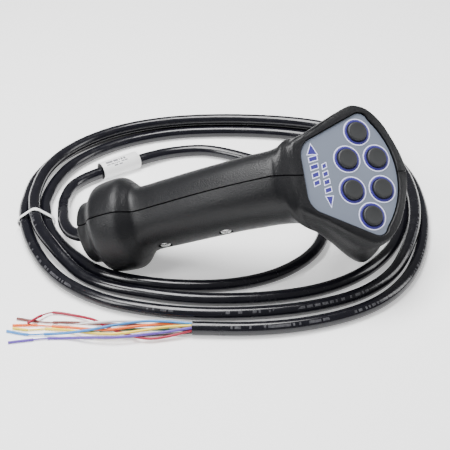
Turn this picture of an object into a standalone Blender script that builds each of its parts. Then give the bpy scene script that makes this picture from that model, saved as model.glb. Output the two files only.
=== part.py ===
"""Hand-held pendant control station: a two-half grip with six push-buttons on a loose coil of cable.

The grip is made in two local frames that hang from empties. HANDLE has X along the grip towards the
head, Y across the split between the halves and Z towards the thumb. FACE sits at the middle of the
button plate, with X towards the tip of the head and Z out of the plate. The cable and what is on it
are made where they lie on the table, in the world frame. Sizes are in millimetres and are turned
into metres by mm().
"""

import math

import bmesh
import bpy
from mathutils import Matrix, Vector

# ---- where the grip lies: bulb on the table, head on the strands of cable ----
HANDLE_ORIGIN = (72.898, -13.367, 70.171)
HANDLE_TURN_DEG = (42.3, -21.3, -7.9)      # roll about the grip, rise of the grip, heading
FACE_TILT_DEG = 37.3                       # the button plate slopes down towards the tip
AXIS_Z = 17.8                              # the grip's axis in the HANDLE frame

# ---- grip shells ----
WALL = 2.6
SPLIT_GAP = 0.3
BASE_END_X = -171.0
FACE_PLANE = 2.0                           # top of the rim above the label
ROWS_PER_SPAN = 2
COLUMNS_PER_SPAN = 2
BULB = [(-171.0, 17.4), (-170.2, 18.9), (-164.6, 19.8), (-160.6, 24.8), (-157.0, 27.3),
        (-149.0, 28.3), (-141.5, 27.9), (-136.5, 23.6)]
GRIP = [(-131.5, 37.6, -2.2, 19.6), (-115.0, 38.7, -3.0, 19.6), (-96.0, 40.2, -3.6, 19.9),
        (-78.0, 40.6, -4.2, 20.2), (-63.0, 39.9, -5.8, 20.8)]
GRIP_SQUARENESS = 2.35
HEAD_SPANS = 7                             # spans of the head that the grip's own hollow stops short of
HEAD_CAVITY = [(-5.2, 1.02, 0.0), (-20.0, 1.0, 0.0), (-30.0, 0.80, 3.0), (-38.0, 0.50, 9.0),
               (-43.0, 0.36, 13.0)]        # depth, share of the label's outline, shift to the tip

# ---- button plate, label and switches (FACE frame) ----
TIP_RADIUS = 50.7
LABEL_TIP = 19.8
LABEL_CORNERS = [(-38.2, 12.5), (-36.6, 17.6), (-33.2, 21.4), (-1.4, 36.7), (2.6, 37.6), (6.2, 35.8)]
POCKET_CLEARANCE = 0.5
LEDGE = 1.1
LEDGE_Z = -2.3
OPENING_DEPTH = -14.0
PLATE_Z = (-1.9, -0.4)
LABEL_Z = (-0.1, 0.3)
BUTTON_CENTRES = [(-0.7, 25.8), (-10.1, 9.2), (8.7, 9.2), (-10.1, -10.0), (8.7, -10.0),
                  (-0.7, -26.1)]
BUSHING_RADIUS = 7.2
BUSHING_TOP = 0.6
BUSHING_HOLE = 7.6
CAP_RADIUS = 6.0
CAP_TOP = 2.4
WELL_RADIUS = 6.65
BODY_RADIUS = 7.8
BODY_TOP = -5.1
BODY_BOTTOM = -20.0
WELL_FLOOR = -8.5
STEM_FLOOR = -13.0
CAP_BOTTOM = -4.2
STEM_RADIUS = 2.0
STEM_HOLE = 2.4
STEM_BOTTOM = -9.0
NUT_Z = (-4.8, -2.2)
NUT_RADIUS = 8.4
NUT_BORE = 7.55

# ---- fasteners along Y: (name, insert, x, z, side of the head, seat of the head, boss length) ----
GRIP_SCREWS = [("grip_screw_1", "thread_insert_1", -122.5, 18.3, -1, 17.4, 18.3),
               ("grip_screw_2", "thread_insert_2", -83.5, 18.3, -1, 18.2, 18.9),
               ("head_screw", "thread_insert_3", -20.2, -29.9, 1, 15.0, 25.0)]
BOSS_RADIUS = 5.3
SCREW_RADIUS = 1.5
SCREW_HOLE = 1.9
SCREW_HEAD_RADIUS = 3.6
SCREW_HEAD_HEIGHT = 2.2
COUNTERBORE_RADIUS = 4.3
INSERT_RADIUS = 2.6
INSERT_HOLE = 2.95
INSERT_Y = (1.0, 8.0)

# ---- cable entry ----
CABLE_RADIUS = 4.0
ENTRY_X = (-142.5, -151.0, -160.0, -169.0, -176.0)   # clamped end of the cable inside the base
ENTRY_HOLE = 6.9
GROMMET_LIP = 8.4
CLAMP_X = (-154.0, -146.0)
CLAMP_Y = (-9.2, -4.7)
CLAMP_HALF_HEIGHT = 13.0
POST_OFFSET = 9.0
POST_RADIUS = 3.4
BUNDLE_RADIUS = 2.8

# ---- the cable's route, in millimetres on the table, from the base to the cut end ----
CABLE_ROUTE = [
    (-99.8, -0.9, 17.4), (-105.8, 4.5, 16.4), (-110.6, 14.9, 15.4), (-113.2, 29.5, 12.9),
    (-115.4, 43.0, 8.6), (-116.8, 58.5, 4.6), (-113.6, 74.5, 4.4), (-102.6, 87.1, 4.9),
    (-83.6, 99.7, 4.9), (-64.6, 112.3, 4.9), (-45.6, 121.5, 4.1), (-22.6, 124.0, 4.1),
    (1.4, 115.5, 4.1), (23.4, 101.5, 4.1), (41.4, 82.5, 4.1), (52.4, 60.5, 4.1),
    (56.4, 38.5, 4.1), (54.9, 18.5, 4.1), (48.4, 1.5, 4.1), (37.4, -12.5, 4.1),
    (22.4, -24.0, 4.1), (4.4, -31.5, 4.1), (-16.6, -35.0, 4.1), (-39.6, -34.5, 4.1),
    (-60.6, -31.0, 4.1), (-76.6, -26.0, 4.1), (-88.1, -19.5, 4.1), (-98.6, -9.5, 4.1),
    (-108.6, 1.5, 4.1), (-117.6, 14.0, 4.7), (-124.1, 27.5, 5.3), (-127.6, 42.0, 4.9),
    (-129.6, 58.5, 4.1), (-126.1, 81.5, 4.1), (-117.1, 103.5, 4.1), (-99.6, 123.5, 4.1),
    (-75.6, 139.0, 4.1), (-45.6, 149.0, 4.1), (-8.6, 152.0, 4.1), (29.4, 149.5, 4.1),
    (60.4, 141.5, 4.1), (84.4, 127.0, 4.1), (100.4, 106.5, 4.1), (108.9, 82.5, 4.1),
    (110.9, 55.5, 4.1), (106.9, 29.0, 4.1), (97.2, 4.5, 4.1), (82.9, -15.0, 4.1),
    (65.9, -29.5, 4.1), (44.4, -40.0, 4.1), (18.4, -46.0, 4.1), (-8.6, -48.0, 4.1),
    (-34.6, -46.5, 4.1), (-59.6, -41.5, 4.1), (-79.6, -35.0, 4.1), (-95.1, -25.5, 4.3),
    (-106.6, -13.0, 5.8), (-117.1, 0.5, 8.6), (-125.8, 14.0, 10.2), (-131.5, 28.5, 10.4),
    (-134.6, 42.5, 10.4), (-136.1, 58.5, 10.5), (-133.1, 83.0, 11.4), (-123.1, 107.0, 11.4),
    (-104.6, 128.5, 11.4), (-79.6, 144.5, 11.4), (-47.1, 154.5, 11.4), (-8.6, 157.7, 11.4),
    (31.4, 155.0, 11.4), (63.4, 147.0, 11.4), (88.9, 131.5, 11.4), (105.9, 109.5, 11.4),
    (114.4, 84.0, 11.4), (116.9, 55.5, 11.4), (114.4, 27.5, 11.0), (106.9, 1.5, 8.6),
    (95.9, -20.0, 5.2), (80.9, -36.0, 4.1), (61.4, -48.0, 4.1), (32.4, -57.0, 4.1),
    (-3.6, -61.0, 4.1), (-37.6, -59.5, 4.1), (-68.6, -53.0, 4.1), (-89.6, -43.5, 4.1),
    (-106.1, -31.0, 4.1), (-118.1, -16.5, 4.1), (-127.1, -1.0, 4.1), (-133.6, 13.5, 4.6),
    (-138.7, 29.0, 5.3), (-141.5, 43.0, 4.9), (-142.3, 59.5, 4.1), (-140.1, 84.5, 4.1),
    (-129.6, 110.5, 4.1), (-110.1, 133.5, 4.1), (-83.1, 150.5, 4.1), (-48.6, 160.5, 4.1),
    (-8.6, 163.5, 4.1), (32.9, 160.5, 4.1), (66.4, 152.0, 4.1), (93.4, 136.0, 4.1),
    (111.4, 112.5, 4.1), (120.4, 85.5, 4.1), (122.9, 55.5, 4.1), (120.4, 25.5, 4.1),
    (113.4, -3.0, 4.1), (101.9, -28.0, 4.1), (84.9, -48.0, 4.1), (62.9, -61.5, 4.1),
    (34.4, -70.5, 4.1), (5.4, -74.0, 4.1), (-27.3, -73.5, 4.1)]
CABLE_REST_Z = 4.02
CABLE_TURN_DEG = 11.0

# ---- the cores that fan out of the cut end: name, colour and route ----
WIRE_RADIUS = 0.8
WIRE_ROOT_X = -27.6
WIRE_POINTS = 14
WIRES = [
    ("wire_brown", (0.24, 0.09, 0.06),
     [(-71.7, 2.3), (-42.6, -67.2, 0.9), (-56.6, -67.0, 0.9), (-70.6, -66.6, 0.9), (-84.6, -65.8, 0.9),
      (-98.6, -64.9, 0.9), (-110.6, -64.8, 0.9), (-118.6, -63.8, 0.9), (-129.6, -61.4, 0.9)]),
    ("wire_green", (0.05, 0.32, 0.12),
     [(-73.5, 2.3), (-42.6, -71.0, 0.9), (-56.6, -70.9, 0.9), (-70.6, -71.2, 0.9), (-82.6, -72.4, 0.9),
      (-91.6, -72.6, 0.9)]),
    ("wire_black", (0.02, 0.02, 0.02),
     [(-75.3, 2.3), (-42.6, -75.2, 0.9), (-56.6, -76.4, 0.9), (-70.6, -77.6, 0.9), (-88.6, -78.0, 0.9)]),
    ("wire_white", (0.80, 0.80, 0.78),
     [(-71.1, 4.1), (-42.6, -66.4, 2.8), (-56.6, -66.3, 3.2), (-70.6, -67.9, 4.5), (-84.6, -69.8, 4.9),
      (-98.6, -67.6, 1.2), (-104.6, -67.2, 0.9)]),
    ("wire_orange", (0.85, 0.26, 0.10),
     [(-73.3, 4.1), (-42.6, -69.8, 4), (-56.6, -72.0, 4.5), (-70.6, -75.3, 5.0), (-76.6, -75.0, 4.0),
      (-84.6, -73.7, 3.4), (-98.6, -70.2, 1.8), (-110.6, -68.0, 0.9), (-118.6, -67.1, 0.9),
      (-131.1, -67.5, 0.9)]),
    ("wire_red", (0.52, 0.02, 0.08),
     [(-75.7, 4.1), (-42.6, -79.6, 2.7), (-54.6, -80.6, 2.7), (-70.6, -74.5, 2.8), (-78.6, -69.4, 2.9),
      (-84.6, -64.8, 3.0), (-97.6, -58.5, 1.1), (-109.1, -56.7, 1.5), (-115.6, -61.0, 2.6),
      (-122.1, -67.7, 2.8)]),
    ("wire_blue", (0.10, 0.34, 0.66),
     [(-71.7, 5.9), (-42.6, -69.9, 6), (-56.6, -69.4, 5.5), (-70.6, -72.7, 5.8), (-76.6, -74.8, 6.1),
      (-84.6, -76.7, 5.7), (-98.6, -77.0, 3.4), (-110.6, -75.5, 1.4), (-121.6, -75.3, 0.9),
      (-133.6, -72.4, 0.9)]),
    ("wire_yellow", (0.85, 0.72, 0.16),
     [(-73.5, 5.9), (-42.6, -73.3, 4.7), (-56.6, -76.3, 4.5), (-70.6, -78.9, 4.5), (-84.6, -77.3, 3.6),
      (-98.6, -72.7, 1.8), (-110.6, -70.5, 0.9), (-121.6, -71.4, 0.9), (-130.6, -69.9, 0.9)]),
    ("wire_purple", (0.20, 0.13, 0.48),
     [(-75.3, 5.9), (-42.6, -77.6, 4.7), (-56.6, -79.9, 4.6), (-70.6, -81.9, 4.5), (-84.6, -80.8, 3.4),
      (-98.6, -78.6, 1.1), (-110.6, -78.8, 0.9), (-118.6, -80.0, 0.9), (-131.1, -82.2, 0.9)]),
]

# ---- what is on the cable ----
TIE_CENTRE = (-132.0, 31.0, 5.3)
TIE_HEADING_DEG = 2.0
TIE_STRANDS = [(-7.15, 0.0), (7.15, 0.0), (0.0, 5.1)]   # across the coil and up, from the centre
TIE_INNER_RADIUS = 4.65
TIE_THICKNESS = 0.55
TIE_WIDTH = 2.6
SLEEVE_ENDS = [(-95.7, 91.7, 6.2), (-71.5, 107.7, 6.2)]
SLEEVE_INNER = 5.65
SLEEVE_OUTER = 6.1

COLOURS = {
    "shell": ((0.018, 0.018, 0.020), 0.50, 0.0), "plate": ((0.55, 0.56, 0.58), 0.40, 1.0),
    "label": ((0.17, 0.20, 0.25), 0.55, 0.0), "switch": ((0.02, 0.02, 0.02), 0.45, 0.0),
    "cap": ((0.035, 0.036, 0.040), 0.55, 0.0), "steel": ((0.62, 0.61, 0.58), 0.25, 1.0),
    "brass": ((0.60, 0.42, 0.16), 0.35, 1.0), "rubber": ((0.015, 0.015, 0.015), 0.60, 0.0),
    "cable": ((0.012, 0.012, 0.013), 0.25, 0.0), "tie": ((0.80, 0.80, 0.80), 0.50, 0.0),
    "sleeve": ((0.75, 0.75, 0.75), 0.60, 0.0)}


# ------------------------------------------------------------------ scene and small helpers

def mm(*values):
    """A vector in metres from values in millimetres."""
    return Vector([value * 0.001 for value in values])


def clear_scene():
    for old in list(bpy.data.objects):
        bpy.data.objects.remove(old, do_unlink=True)


def new_collection(name):
    collection = bpy.data.collections.new(name)
    bpy.context.scene.collection.children.link(collection)
    return collection


def make_material(name, colour, roughness, metallic):
    material = bpy.data.materials.new(name)
    material.use_nodes = True
    shader = material.node_tree.nodes["Principled BSDF"]
    shader.inputs["Base Color"].default_value = (*colour, 1.0)
    shader.inputs["Roughness"].default_value = roughness
    shader.inputs["Metallic"].default_value = metallic
    material.diffuse_color = (*colour, 1.0)
    return material


def new_empty(name, location, rotation, parent=None):
    empty = bpy.data.objects.new(name, None)
    empty.location = location
    empty.rotation_euler = rotation
    empty.parent = parent
    PARTS.objects.link(empty)
    return empty


def add_object(name, data, finish, parent=None, location=(0.0, 0.0, 0.0)):
    """A part in the PARTS collection, with its own copy of a named finish."""
    obj = bpy.data.objects.new(name, data)
    obj.parent = parent
    obj.location = mm(*location)
    colour, roughness, metallic = COLOURS[finish] if isinstance(finish, str) else finish
    data.materials.clear()
    data.materials.append(make_material(name, colour, roughness, metallic))
    PARTS.objects.link(obj)
    return obj


def add_cutter(name, mesh, parent=None, location=(0.0, 0.0, 0.0)):
    cutter = bpy.data.objects.new(name, mesh)
    cutter.parent = parent
    cutter.location = mm(*location)
    cutter.hide_render = True
    cutter.display_type = "WIRE"
    CUTTERS.objects.link(cutter)
    return cutter


def join_or_cut(target, tool, operation):
    modifier = target.modifiers.new(tool.name, "BOOLEAN")
    modifier.operation = operation
    modifier.solver = "MANIFOLD"
    modifier.object = tool


def mesh_from(bm, name, smooth=True):
    bmesh.ops.recalc_face_normals(bm, faces=bm.faces)
    mesh = bpy.data.meshes.new(name)
    bm.to_mesh(mesh)
    bm.free()
    if smooth:
        mesh.shade_smooth()
        mesh.set_sharp_from_angle(angle=math.radians(35))
    return mesh


def catmull(a, b, c, d, t):
    """A point between b and c on a smooth curve through a, b, c and d."""
    return 0.5 * (2 * b + (c - a) * t + (2 * a - 5 * b + 4 * c - d) * t * t
                  + (3 * b - a - 3 * c + d) * t * t * t)


def smooth_path(route, count):
    """Evenly spaced points, in metres, on a smooth curve through a route in millimetres."""
    knots = [mm(*point) for point in route]
    knots = [2 * knots[0] - knots[1]] + knots + [2 * knots[-1] - knots[-2]]
    fine = []
    for i in range(1, len(knots) - 2):
        fine += [catmull(*knots[i - 1:i + 3], step / 12) for step in range(12)]
    fine.append(knots[-2])
    lengths = [0.0]
    for before, after in zip(fine, fine[1:]):
        lengths.append(lengths[-1] + (after - before).length)
    points = []
    at = 0
    for i in range(count):
        wanted = lengths[-1] * i / (count - 1)
        while at < len(fine) - 2 and lengths[at + 1] < wanted:
            at += 1
        share = (wanted - lengths[at]) / (lengths[at + 1] - lengths[at])
        points.append(fine[at].lerp(fine[at + 1], share))
    return points


def tube(name, points, radius, finish, parent=None, sides=2):
    """A round bar along points in metres, with filled ends."""
    curve = bpy.data.curves.new(name, "CURVE")
    curve.dimensions = "3D"
    curve.bevel_depth = radius * 0.001
    curve.bevel_resolution = sides
    curve.use_fill_caps = True
    spline = curve.splines.new("POLY")
    spline.points.add(len(points) - 1)
    for target, point in zip(spline.points, points):
        target.co = (*point, 1.0)
    return add_object(name, curve, finish, parent)


def turned(name, profile, finish, parent=None, location=(0.0, 0.0, 0.0), steps=24):
    """A turned solid about Z from the outline of half its section, given in order round the outline."""
    bm = bmesh.new()
    corners = [bm.verts.new(mm(radius, 0.0, z)) for radius, z in profile]
    for i, corner in enumerate(corners):
        after = corners[(i + 1) % len(corners)]
        if corner.co.x > 0 or after.co.x > 0:
            bm.edges.new((corner, after))
    mesh = bpy.data.meshes.new(name)
    bm.to_mesh(mesh)
    bm.free()
    obj = add_object(name, mesh, finish, parent, location)
    screw = obj.modifiers.new("Turn", "SCREW")
    screw.steps = steps
    screw.render_steps = steps
    screw.use_merge_vertices = True
    screw.merge_threshold = 0.00002
    return obj


def cylinder_mesh(name, radius, low, high, axis="Z", sides=24):
    """A closed cylinder between two heights along an axis through the origin."""
    bm = bmesh.new()
    bmesh.ops.create_cone(bm, cap_ends=True, segments=sides, radius1=radius * 0.001,
                          radius2=radius * 0.001, depth=(high - low) * 0.001)
    bmesh.ops.translate(bm, verts=bm.verts, vec=mm(0, 0, (low + high) / 2))
    if axis == "Y":
        bmesh.ops.rotate(bm, verts=bm.verts, matrix=Matrix.Rotation(math.radians(-90), 3, "X"))
    elif axis == "X":
        bmesh.ops.rotate(bm, verts=bm.verts, matrix=Matrix.Rotation(math.radians(90), 3, "Y"))
    return mesh_from(bm, name)


def prism_mesh(name, outline, low, high):
    """A flat outline in millimetres, extruded between two heights."""
    bm = bmesh.new()
    base = bm.faces.new([bm.verts.new(mm(x, y, low)) for x, y in outline])
    grown = bmesh.ops.extrude_face_region(bm, geom=[base])
    moved = [item for item in grown["geom"] if isinstance(item, bmesh.types.BMVert)]
    bmesh.ops.translate(bm, verts=moved, vec=mm(0, 0, high - low))
    return mesh_from(bm, name, smooth=False)


# ------------------------------------------------------------------ the grip's outer form

def tilted(u, n):
    """A point of the FACE frame's middle plane, in the HANDLE frame."""
    angle = math.radians(FACE_TILT_DEG)
    return (u * math.cos(angle) + n * math.sin(angle), -u * math.sin(angle) + n * math.cos(angle))


def oval(half_width, power):
    """Nine points of half a rounded section, top to bottom: share of the height, half width."""
    points = []
    for i in range(9):
        angle = math.pi * i / 8
        across = abs(math.sin(angle)) ** (2 / power)
        along = math.copysign(abs(math.cos(angle)) ** (2 / power), math.cos(angle))
        points.append(((1 - along) / 2, half_width * across))
    return points


def head_sections():
    """Sections that fan round from across the grip to the rim: top, bottom and half outline."""
    rim = [(0.0, 0.0), (0.004, 12.4), (0.035, 21.2), (0.24, 30.8), (0.49, 40.8), (0.61, 43.2),
           (0.755, 39.2), (0.895, 25.4), (1.0, 0.0)]
    deep = [(0.0, 0.0), (0.01, 12.8), (0.05, 22.2), (0.25, 30.4), (0.48, 38.4), (0.64, 42.4),
            (0.81, 40.6), (0.94, 25.5), (1.0, 0.0)]
    chin = [(0.0, 0.0), (0.012, 12.6), (0.06, 21.8), (0.25, 29.8), (0.48, 36.2), (0.68, 41.2),
            (0.86, 41.0), (0.965, 26.0), (1.0, 0.0)]
    jowl = [(0.0, 0.0), (0.016, 12.2), (0.08, 21.2), (0.28, 28.2), (0.50, 29.4), (0.70, 32.2),
            (0.86, 33.8), (0.965, 20.5), (1.0, 0.0)]
    nape = [(0.0, 0.0), (0.018, 11.8), (0.09, 20.4), (0.27, 26.6), (0.49, 26.6), (0.69, 23.4),
            (0.85, 18.6), (0.96, 10.2), (1.0, 0.0)]
    neck = [(0.0, 0.0), (0.02, 11.2), (0.10, 19.4), (0.28, 24.6), (0.50, 24.6), (0.70, 21.6),
            (0.86, 16.8), (0.96, 9.2), (1.0, 0.0)]
    return [(tilted(-60.5, 2.0), (-57.5, -7.4), oval(21.0, 2.35)),
            (tilted(-56.3, 2.9), tilted(-31.5, -33.6), oval(22.2, 2.4)),
            (tilted(-52.8, 3.0), tilted(-21.5, -33.6), neck),
            (tilted(-50.3, 2.9), tilted(-12.0, -40.0), nape),
            (tilted(-48.5, 2.8), tilted(4.0, -50.0), jowl),
            (tilted(-46.8, 2.6), tilted(20.0, -54.0), chin),
            (tilted(-45.2, 2.3), tilted(25.5, -38.0), deep),
            (tilted(-43.8, 2.1), tilted(27.0, -20.0), rim),
            (tilted(-42.5, FACE_PLANE), tilted(27.4, -7.0), rim),
            (tilted(-40.4, FACE_PLANE), tilted(26.0, FACE_PLANE),
             [(t, width * 0.98) for t, width in rim])]


def key_sections():
    """Every key section of the grip as nine points of the half outline, base to face."""
    sections = [((x, AXIS_Z + r), (x, AXIS_Z - r), oval(r, 2.0)) for x, r in BULB]
    sections += [((x, top), (x, low), oval(width, GRIP_SQUARENESS)) for x, top, low, width in GRIP]
    sections += head_sections()
    rows = []
    for top, bottom, outline in sections:
        rows.append([Vector((top[0] + (bottom[0] - top[0]) * t, width, top[1] + (bottom[1] - top[1]) * t))
                     for t, width in outline])
    return rows


def mirrored(point):
    return Vector((point.x, -point.y, point.z))


def smooth_grid():
    """The half skin: smooth rows and columns of points through the key sections."""
    rows = key_sections()
    lengthwise = []
    for i in range(len(rows) - 1):
        before = rows[i - 1] if i > 0 else [2 * a - b for a, b in zip(rows[0], rows[1])]
        after = rows[i + 2] if i + 2 < len(rows) else [2 * a - b for a, b in zip(rows[-1], rows[-2])]
        for step in range(ROWS_PER_SPAN):
            share = step / ROWS_PER_SPAN
            lengthwise.append([catmull(a, b, c, d, share)
                               for a, b, c, d in zip(before, rows[i], rows[i + 1], after)])
    lengthwise.append(rows[-1])
    grid = []
    for row in lengthwise:
        ring = [mirrored(row[1])] + row + [mirrored(row[-2])]
        line = []
        for k in range(1, len(ring) - 2):
            line += [catmull(*ring[k - 1:k + 3], step / COLUMNS_PER_SPAN)
                     for step in range(COLUMNS_PER_SPAN)]
        line.append(row[-1])
        for point in line:
            point.y = max(point.y, 0.0)
        grid.append(line)
    return grid


def skin_normal(grid, i, k):
    """The outward direction of the half skin at one of its points."""
    rows, columns = len(grid), len(grid[0])
    along = grid[min(i + 1, rows - 1)][k] - grid[max(i - 1, 0)][k]
    before = grid[i][k - 1] if k > 0 else mirrored(grid[i][1])
    after = grid[i][k + 1] if k < columns - 1 else mirrored(grid[i][-2])
    return along.cross(after - before).normalized()


def closed_loft(name, rings):
    """A closed solid through rings of points in millimetres."""
    bm = bmesh.new()
    loops = [[bm.verts.new(mm(*point)) for point in ring] for ring in rings]
    for first, second in zip(loops, loops[1:]):
        for k in range(len(first)):
            after = (k + 1) % len(first)
            bm.faces.new((first[k], first[after], second[after], second[k]))
    bm.faces.new(loops[0][::-1])
    bm.faces.new(loops[-1])
    return mesh_from(bm, name)


def half_skin(grid, side):
    """The outer form of one half, closed along the split."""
    rings = []
    for row in grid:
        arc = [Vector((p.x, side * max(p.y, SPLIT_GAP / 2), p.z)) for p in row]
        rings.append(arc)
    return closed_loft("half_skin", rings)


def grip_cavity(grid):
    """The hollow of the bulb and grip: the skin moved in by the wall, open into the head."""
    rings = []
    first = next(i for i, row in enumerate(grid) if row[0].x > BASE_END_X + 3.2)
    for i in range(first, len(grid) - ROWS_PER_SPAN * HEAD_SPANS):
        arc = []
        for k, point in enumerate(grid[i]):
            inner = point - WALL * skin_normal(grid, i, k)
            arc.append(Vector((inner.x, max(inner.y, 0.0), inner.z)))
        rings.append(arc + [mirrored(point) for point in arc[-2:0:-1]])
    return closed_loft("grip_cavity", rings)


def head_cavity():
    """The hollow under the switches, narrowing towards the back of the head (FACE frame)."""
    rings = []
    for depth, share, shift in HEAD_CAVITY:
        rings.append([Vector((x * share + shift, y * share, depth)) for x, y in label_outline()])
    return closed_loft("head_cavity", rings)


# ------------------------------------------------------------------ shells

def label_outline(offset=0.0):
    """The shield outline of the label, widened by an offset."""
    half = list(LABEL_CORNERS)
    arc_centre = LABEL_TIP - TIP_RADIUS
    for i in range(1, 8):
        angle = math.radians(45.0 * (1 - i / 8))
        half.append((arc_centre + TIP_RADIUS * math.cos(angle), TIP_RADIUS * math.sin(angle)))
    half.append((LABEL_TIP, 0.0))
    outline = half + [(x, -y) for x, y in half[-2::-1]]
    grown = []
    for i, (x, y) in enumerate(outline):
        before = Vector(outline[i - 1])
        after = Vector(outline[(i + 1) % len(outline)])
        first = (Vector((x, y)) - before).normalized()
        second = (after - Vector((x, y))).normalized()
        bisector = Vector((first.y + second.y, -first.x - second.x)).normalized()
        reach = offset / max(0.5, bisector.dot(Vector((first.y, -first.x))))
        grown.append((x - bisector.x * reach, y - bisector.y * reach))
    return grown


def boss_and_bore(shells, name, x, z, side, seat, length):
    """Screw bosses across both halves, a counterbore on one side and a blind bore on the other."""
    head_half, insert_half = shells[side], shells[-side]
    for half, sign in ((head_half, side), (insert_half, -side)):
        span = sorted((sign * SPLIT_GAP, sign * length))
        boss = add_cutter(name + "_boss", cylinder_mesh("boss", BOSS_RADIUS, *span, axis="Y"),
                          HANDLE, (x, 0, z))
        join_or_cut(half, boss, "UNION")
    tools = [(head_half, SCREW_HOLE, 0.0, side * 40.0),
             (head_half, COUNTERBORE_RADIUS, side * seat, side * 45.0),
             (insert_half, INSERT_HOLE, -side * (INSERT_Y[1] + 0.4), side * 0.5)]
    for half, radius, start, end in tools:
        span = sorted((start, end))
        bore = add_cutter(name + "_bore", cylinder_mesh("bore", radius, *span, axis="Y"),
                          HANDLE, (x, 0, z))
        join_or_cut(half, bore, "DIFFERENCE")


def clamp_posts(right):
    """Two posts in the right half that the cable clamp is screwed to."""
    x = sum(CLAMP_X) / 2
    for sign in (-1, 1):
        place = (x, 0, AXIS_Z + sign * POST_OFFSET)
        post = add_cutter("post", cylinder_mesh("post", POST_RADIUS, CLAMP_Y[1] + 0.4, 24.5, axis="Y"),
                          HANDLE, place)
        join_or_cut(right, post, "UNION")
        pilot = add_cutter("pilot", cylinder_mesh("pilot", 1.5, CLAMP_Y[1] - 1.0, 9.0, axis="Y"),
                           HANDLE, place)
        join_or_cut(right, pilot, "DIFFERENCE")


def grip_shells():
    grid = smooth_grid()
    hollows = [add_cutter("grip_cavity", grip_cavity(grid), HANDLE),
               add_cutter("head_cavity", head_cavity(), FACE)]
    pocket = add_cutter("pocket", prism_mesh("pocket", label_outline(POCKET_CLEARANCE), LEDGE_Z, 12.0),
                        FACE)
    opening = add_cutter("opening", prism_mesh("opening", label_outline(-LEDGE), OPENING_DEPTH, 0.0),
                         FACE)
    entry = add_cutter("entry", cylinder_mesh("entry", ENTRY_HOLE, BASE_END_X - 5, BASE_END_X + 8,
                                              axis="X", sides=32), HANDLE, (0, 0, AXIS_Z))
    shells = {}
    for side, name in ((-1, "left_shell"), (1, "right_shell")):
        shell = add_object(name, half_skin(grid, side), "shell", HANDLE)
        for hollow in hollows:
            join_or_cut(shell, hollow, "DIFFERENCE")
        shells[side] = shell
    for name, _insert, x, z, side, seat, length in GRIP_SCREWS:
        boss_and_bore(shells, name, x, z, side, seat, length)
    clamp_posts(shells[1])
    for shell in shells.values():
        for tool in (pocket, opening, entry):
            join_or_cut(shell, tool, "DIFFERENCE")


# ------------------------------------------------------------------ face plate and switches

def drilled_sheet(name, finish, offset, span, radius):
    """A sheet of the label's outline with a hole for each switch."""
    sheet = add_object(name, prism_mesh(name, label_outline(offset), *span), finish, FACE)
    for i, (x, y) in enumerate(BUTTON_CENTRES, 1):
        hole = add_cutter(f"{name}_hole_{i}", cylinder_mesh("hole", radius, span[0] - 2, span[1] + 2),
                          FACE, (x, y, 0))
        join_or_cut(sheet, hole, "DIFFERENCE")


def switch_body(index, place):
    profile = [(BUSHING_RADIUS, BUSHING_TOP), (BUSHING_RADIUS, BODY_TOP), (BODY_RADIUS, BODY_TOP),
               (BODY_RADIUS, BODY_BOTTOM + 0.6), (BODY_RADIUS - 0.6, BODY_BOTTOM), (0.0, BODY_BOTTOM),
               (0.0, STEM_FLOOR), (STEM_HOLE, STEM_FLOOR), (STEM_HOLE, WELL_FLOOR),
               (WELL_RADIUS, WELL_FLOOR), (WELL_RADIUS, BUSHING_TOP)]
    turned(f"switch_body_{index}", profile, "switch", FACE, (*place, 0.0))


def button_cap(index, place):
    profile = [(0.0, CAP_TOP), (CAP_RADIUS - 1.3, CAP_TOP - 0.05), (CAP_RADIUS - 0.4, CAP_TOP - 0.35),
               (CAP_RADIUS, CAP_TOP - 1.0), (CAP_RADIUS, CAP_BOTTOM), (STEM_RADIUS, CAP_BOTTOM),
               (STEM_RADIUS, STEM_BOTTOM), (0.0, STEM_BOTTOM)]
    turned(f"button_cap_{index}", profile, "cap", FACE, (*place, 0.0))


def return_spring(index, place):
    coil_radius, wire, turns, per_turn = 3.8, 0.3, 3, 9
    low, high = WELL_FLOOR + 0.5, CAP_BOTTOM - 0.45
    points = []
    for i in range(turns * per_turn + 1):
        angle = 2 * math.pi * i / per_turn
        points.append(mm(place[0] + coil_radius * math.cos(angle), place[1] + coil_radius * math.sin(angle),
                         low + (high - low) * i / (turns * per_turn)))
    tube(f"return_spring_{index}", points, wire, "steel", FACE, sides=0)


def switch_nut(index, place):
    """The ring nut that clamps the switch to the plate from below."""
    low, high = NUT_Z
    turned(f"switch_nut_{index}", [(NUT_RADIUS, high), (NUT_RADIUS, low), (NUT_BORE, low),
                                   (NUT_BORE, high)], "steel", FACE, (*place, 0.0))


def switches():
    drilled_sheet("switch_plate", "plate", 0.1, PLATE_Z, BUSHING_HOLE)
    drilled_sheet("face_label", "label", 0.0, LABEL_Z, BUSHING_HOLE)
    for index, place in enumerate(BUTTON_CENTRES, 1):
        switch_body(index, place)
        button_cap(index, place)
        return_spring(index, place)
        switch_nut(index, place)


# ------------------------------------------------------------------ fasteners and cable entry

def screw_along_y(name, x, z, side, seat, reach, head=SCREW_HEAD_RADIUS, shank=SCREW_RADIUS):
    """A pan-head screw whose head sits at the seat, with a hexagon socket in it."""
    profile = [(0.0, SCREW_HEAD_HEIGHT), (head * 0.72, SCREW_HEAD_HEIGHT),
               (head, SCREW_HEAD_HEIGHT * 0.45), (head, 0.0), (shank, 0.0), (shank, -reach + 0.6),
               (shank - 0.5, -reach), (0.0, -reach)]
    screw = turned(name, profile, "steel", HANDLE, (x, side * (seat + 0.1), z), steps=16)
    screw.rotation_euler = (math.radians(-90 * side), 0, 0)
    socket = add_cutter(name + "_socket", cylinder_mesh("socket", head * 0.42, 0.9, 4.0, sides=6),
                        screw)
    join_or_cut(screw, socket, "DIFFERENCE")


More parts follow.
